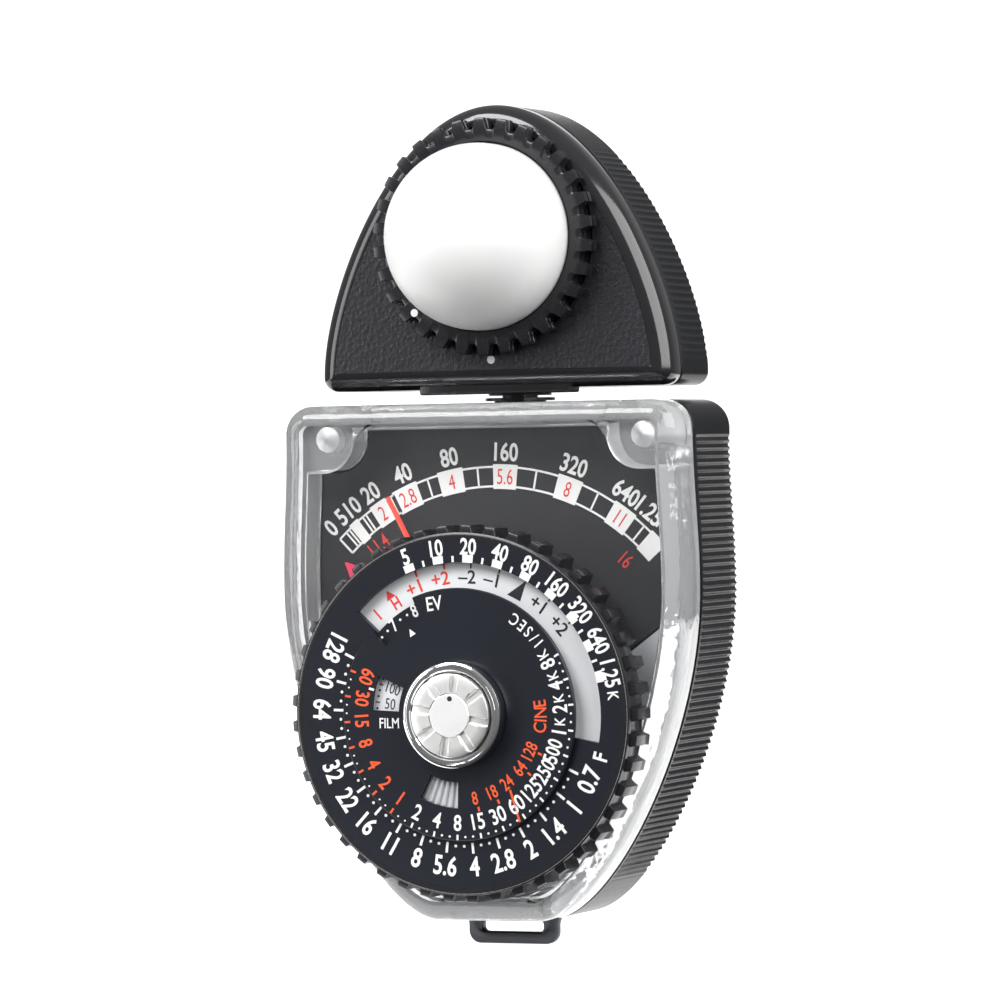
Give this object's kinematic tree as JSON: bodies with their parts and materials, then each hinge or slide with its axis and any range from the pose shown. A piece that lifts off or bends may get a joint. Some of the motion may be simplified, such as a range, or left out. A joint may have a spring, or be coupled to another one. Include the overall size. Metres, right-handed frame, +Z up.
{
  "type": "handheld light meter",
  "caption": "Handheld analogue light meter: swivel head with diffuser dome, needle scale under a clear cover, setting dials with a centre button, and a strap lug.",
  "frame": {"origin": "centre of the whole meter's bounding box at rest", "axes": "+Z up from the strap lug to the head, +X to the right as the user faces the dials, -Y out of the dials and the dome towards the user"},
  "size_m": [0.058, 0.034, 0.112],
  "materials": {
    "wrinkle_black": "fine wrinkle lacquer, satin to gloss",
    "case_black": "glossy moulded black with fine ribs on the sides",
    "clear_acrylic": "clear polished acrylic",
    "scale_black": "matt black printed plate",
    "mask_silver": "satin silver lacquer",
    "dial_black": "satin blue-black anodised with printed scales",
    "grip_black": "satin moulded black",
    "index_white": "white printed disc",
    "dome_white": "translucent white diffuser",
    "chrome": "polished",
    "satin_silver": "sand-blasted with bright flutes",
    "gunmetal": "brushed dark nickel",
    "steel": "bright steel",
    "brass": "satin",
    "copper": "enamelled copper wire",
    "magnet_grey": "ground magnet",
    "needle_red": "red lacquer",
    "memo_red": "pinkish red",
    "cell_dark": "dark blue-black light cell",
    "board_green": "green solder mask",
    "insulator": "brown moulded insulator",
    "felt": "black felt"
  },
  "bodies": {
    "case": {"rear_case": "case_black", "clear_cover": "clear_acrylic", "scale_plate": "scale_black", "lower_mask_plate": "mask_silver", "strap_lug": "gunmetal", "lug_screw_left": "steel", "lug_screw_right": "steel", "case_screw_upper_left": "steel", "case_screw_upper_right": "steel", "case_screw_lower_left": "steel", "case_screw_lower_right": "steel", "plate_screw_left": "steel", "plate_screw_right": "steel", "neck_bush": "grip_black", "friction_washer": "steel", "magnet_yoke": "magnet_grey", "meter_core": "steel", "front_bridge": "brass", "rear_bridge": "brass", "circuit_board": "board_green", "calibration_trimmer": "insulator", "dial_post": "brass", "post_nut": "steel", "brake_pin": "steel", "dial_spring_washer": "steel", "shutter_disc": "dial_black", "button_guard_ring": "chrome", "button_spring": "steel"},
    "head": {"head_front_shell": "wrinkle_black", "head_rear_shell": "case_black", "receptor_socket": "grip_black", "photocell": "cell_dark", "photocell_carrier": "insulator", "cell_contact_spring": "brass", "neck_shaft": "grip_black", "neck_nut": "brass", "neck_clip": "steel", "head_screw_left": "steel", "head_screw_right": "steel"},
    "sleeve": {"receptor_sleeve": "steel"},
    "receptor": {"receptor_ring": "grip_black", "diffuser_dome": "dome_white", "dome_retainer": "steel"},
    "outer_dial": {"outer_dial": "dial_black"},
    "iso_disc": {"iso_disc": "index_white"},
    "plunger": {"button_stem": "steel"},
    "button": {"button_cap": "satin_silver"},
    "brake": {"brake_lever": "steel", "brake_pad": "felt"},
    "needle": {"moving_coil": "copper", "needle_staff": "steel", "rear_pivot": "steel", "needle": "needle_red", "hairspring": "brass"},
    "zero_adjuster": {"zero_adjust_screw": "steel", "zero_lever": "steel"},
    "memo_pointer": {"memo_knob": "grip_black", "memo_yoke": "steel", "memo_pointer": "memo_red"}
  },
  "joints": [
    {"name": "head_swivel", "type": "hinge", "parent": "case", "child": "head", "pos_m": [0, 0.00875, 0.0182], "axis": [0, 0, 1], "range_deg": [-90, 180]},
    {"name": "receptor_pull", "type": "slide", "parent": "head", "child": "sleeve", "axis": [0, -1, 0], "range_m": [0, 0.012]},
    {"name": "receptor_twist", "type": "hinge", "parent": "sleeve", "child": "receptor", "pos_m": [0, -0.00355, 0.0383], "axis": [0, -1, 0], "range_deg": [0, 45]},
    {"name": "dial_turn", "type": "hinge", "parent": "case", "child": "outer_dial", "pos_m": [0, -0.01295, -0.0245], "axis": [0, -1, 0], "continuous": true},
    {"name": "iso_turn", "type": "hinge", "parent": "case", "child": "iso_disc", "pos_m": [0, -0.01295, -0.0245], "axis": [0, -1, 0], "range_deg": [-48, 84]},
    {"name": "button_press", "type": "slide", "parent": "case", "child": "plunger", "axis": [0, 1, 0], "range_m": [0, 0.0008], "stiffness_N_per_m": 600, "deforming": ["button_spring"]},
    {"name": "button_turn", "type": "hinge", "parent": "plunger", "child": "button", "pos_m": [0, -0.01295, -0.0245], "axis": [0, 1, 0], "range_deg": [0, 30]},
    {"name": "brake_lift", "type": "hinge", "parent": "case", "child": "brake", "pos_m": [0, -0.0039, -0.0285], "axis": [-1, 0, 0], "range_deg": [0, 11.5]},
    {"name": "needle_swing", "type": "hinge", "parent": "case", "child": "needle", "pos_m": [0, -0.01295, -0.0245], "axis": [0, -1, 0], "range_deg": [-77, 17]},
    {"name": "memo_turn", "type": "hinge", "parent": "case", "child": "memo_pointer", "pos_m": [0, -0.01295, -0.0245], "axis": [0, -1, 0], "range_deg": [-97, 1]},
    {"name": "zero_adjust", "type": "hinge", "parent": "case", "child": "zero_adjuster", "pos_m": [0, -0.01295, -0.0245], "axis": [0, 1, 0], "range_deg": [-15, 15]}
  ],
  "couplings": [
    {"joint": "brake_lift", "follows": "button_press", "rad_per_m": 250}
  ]
}
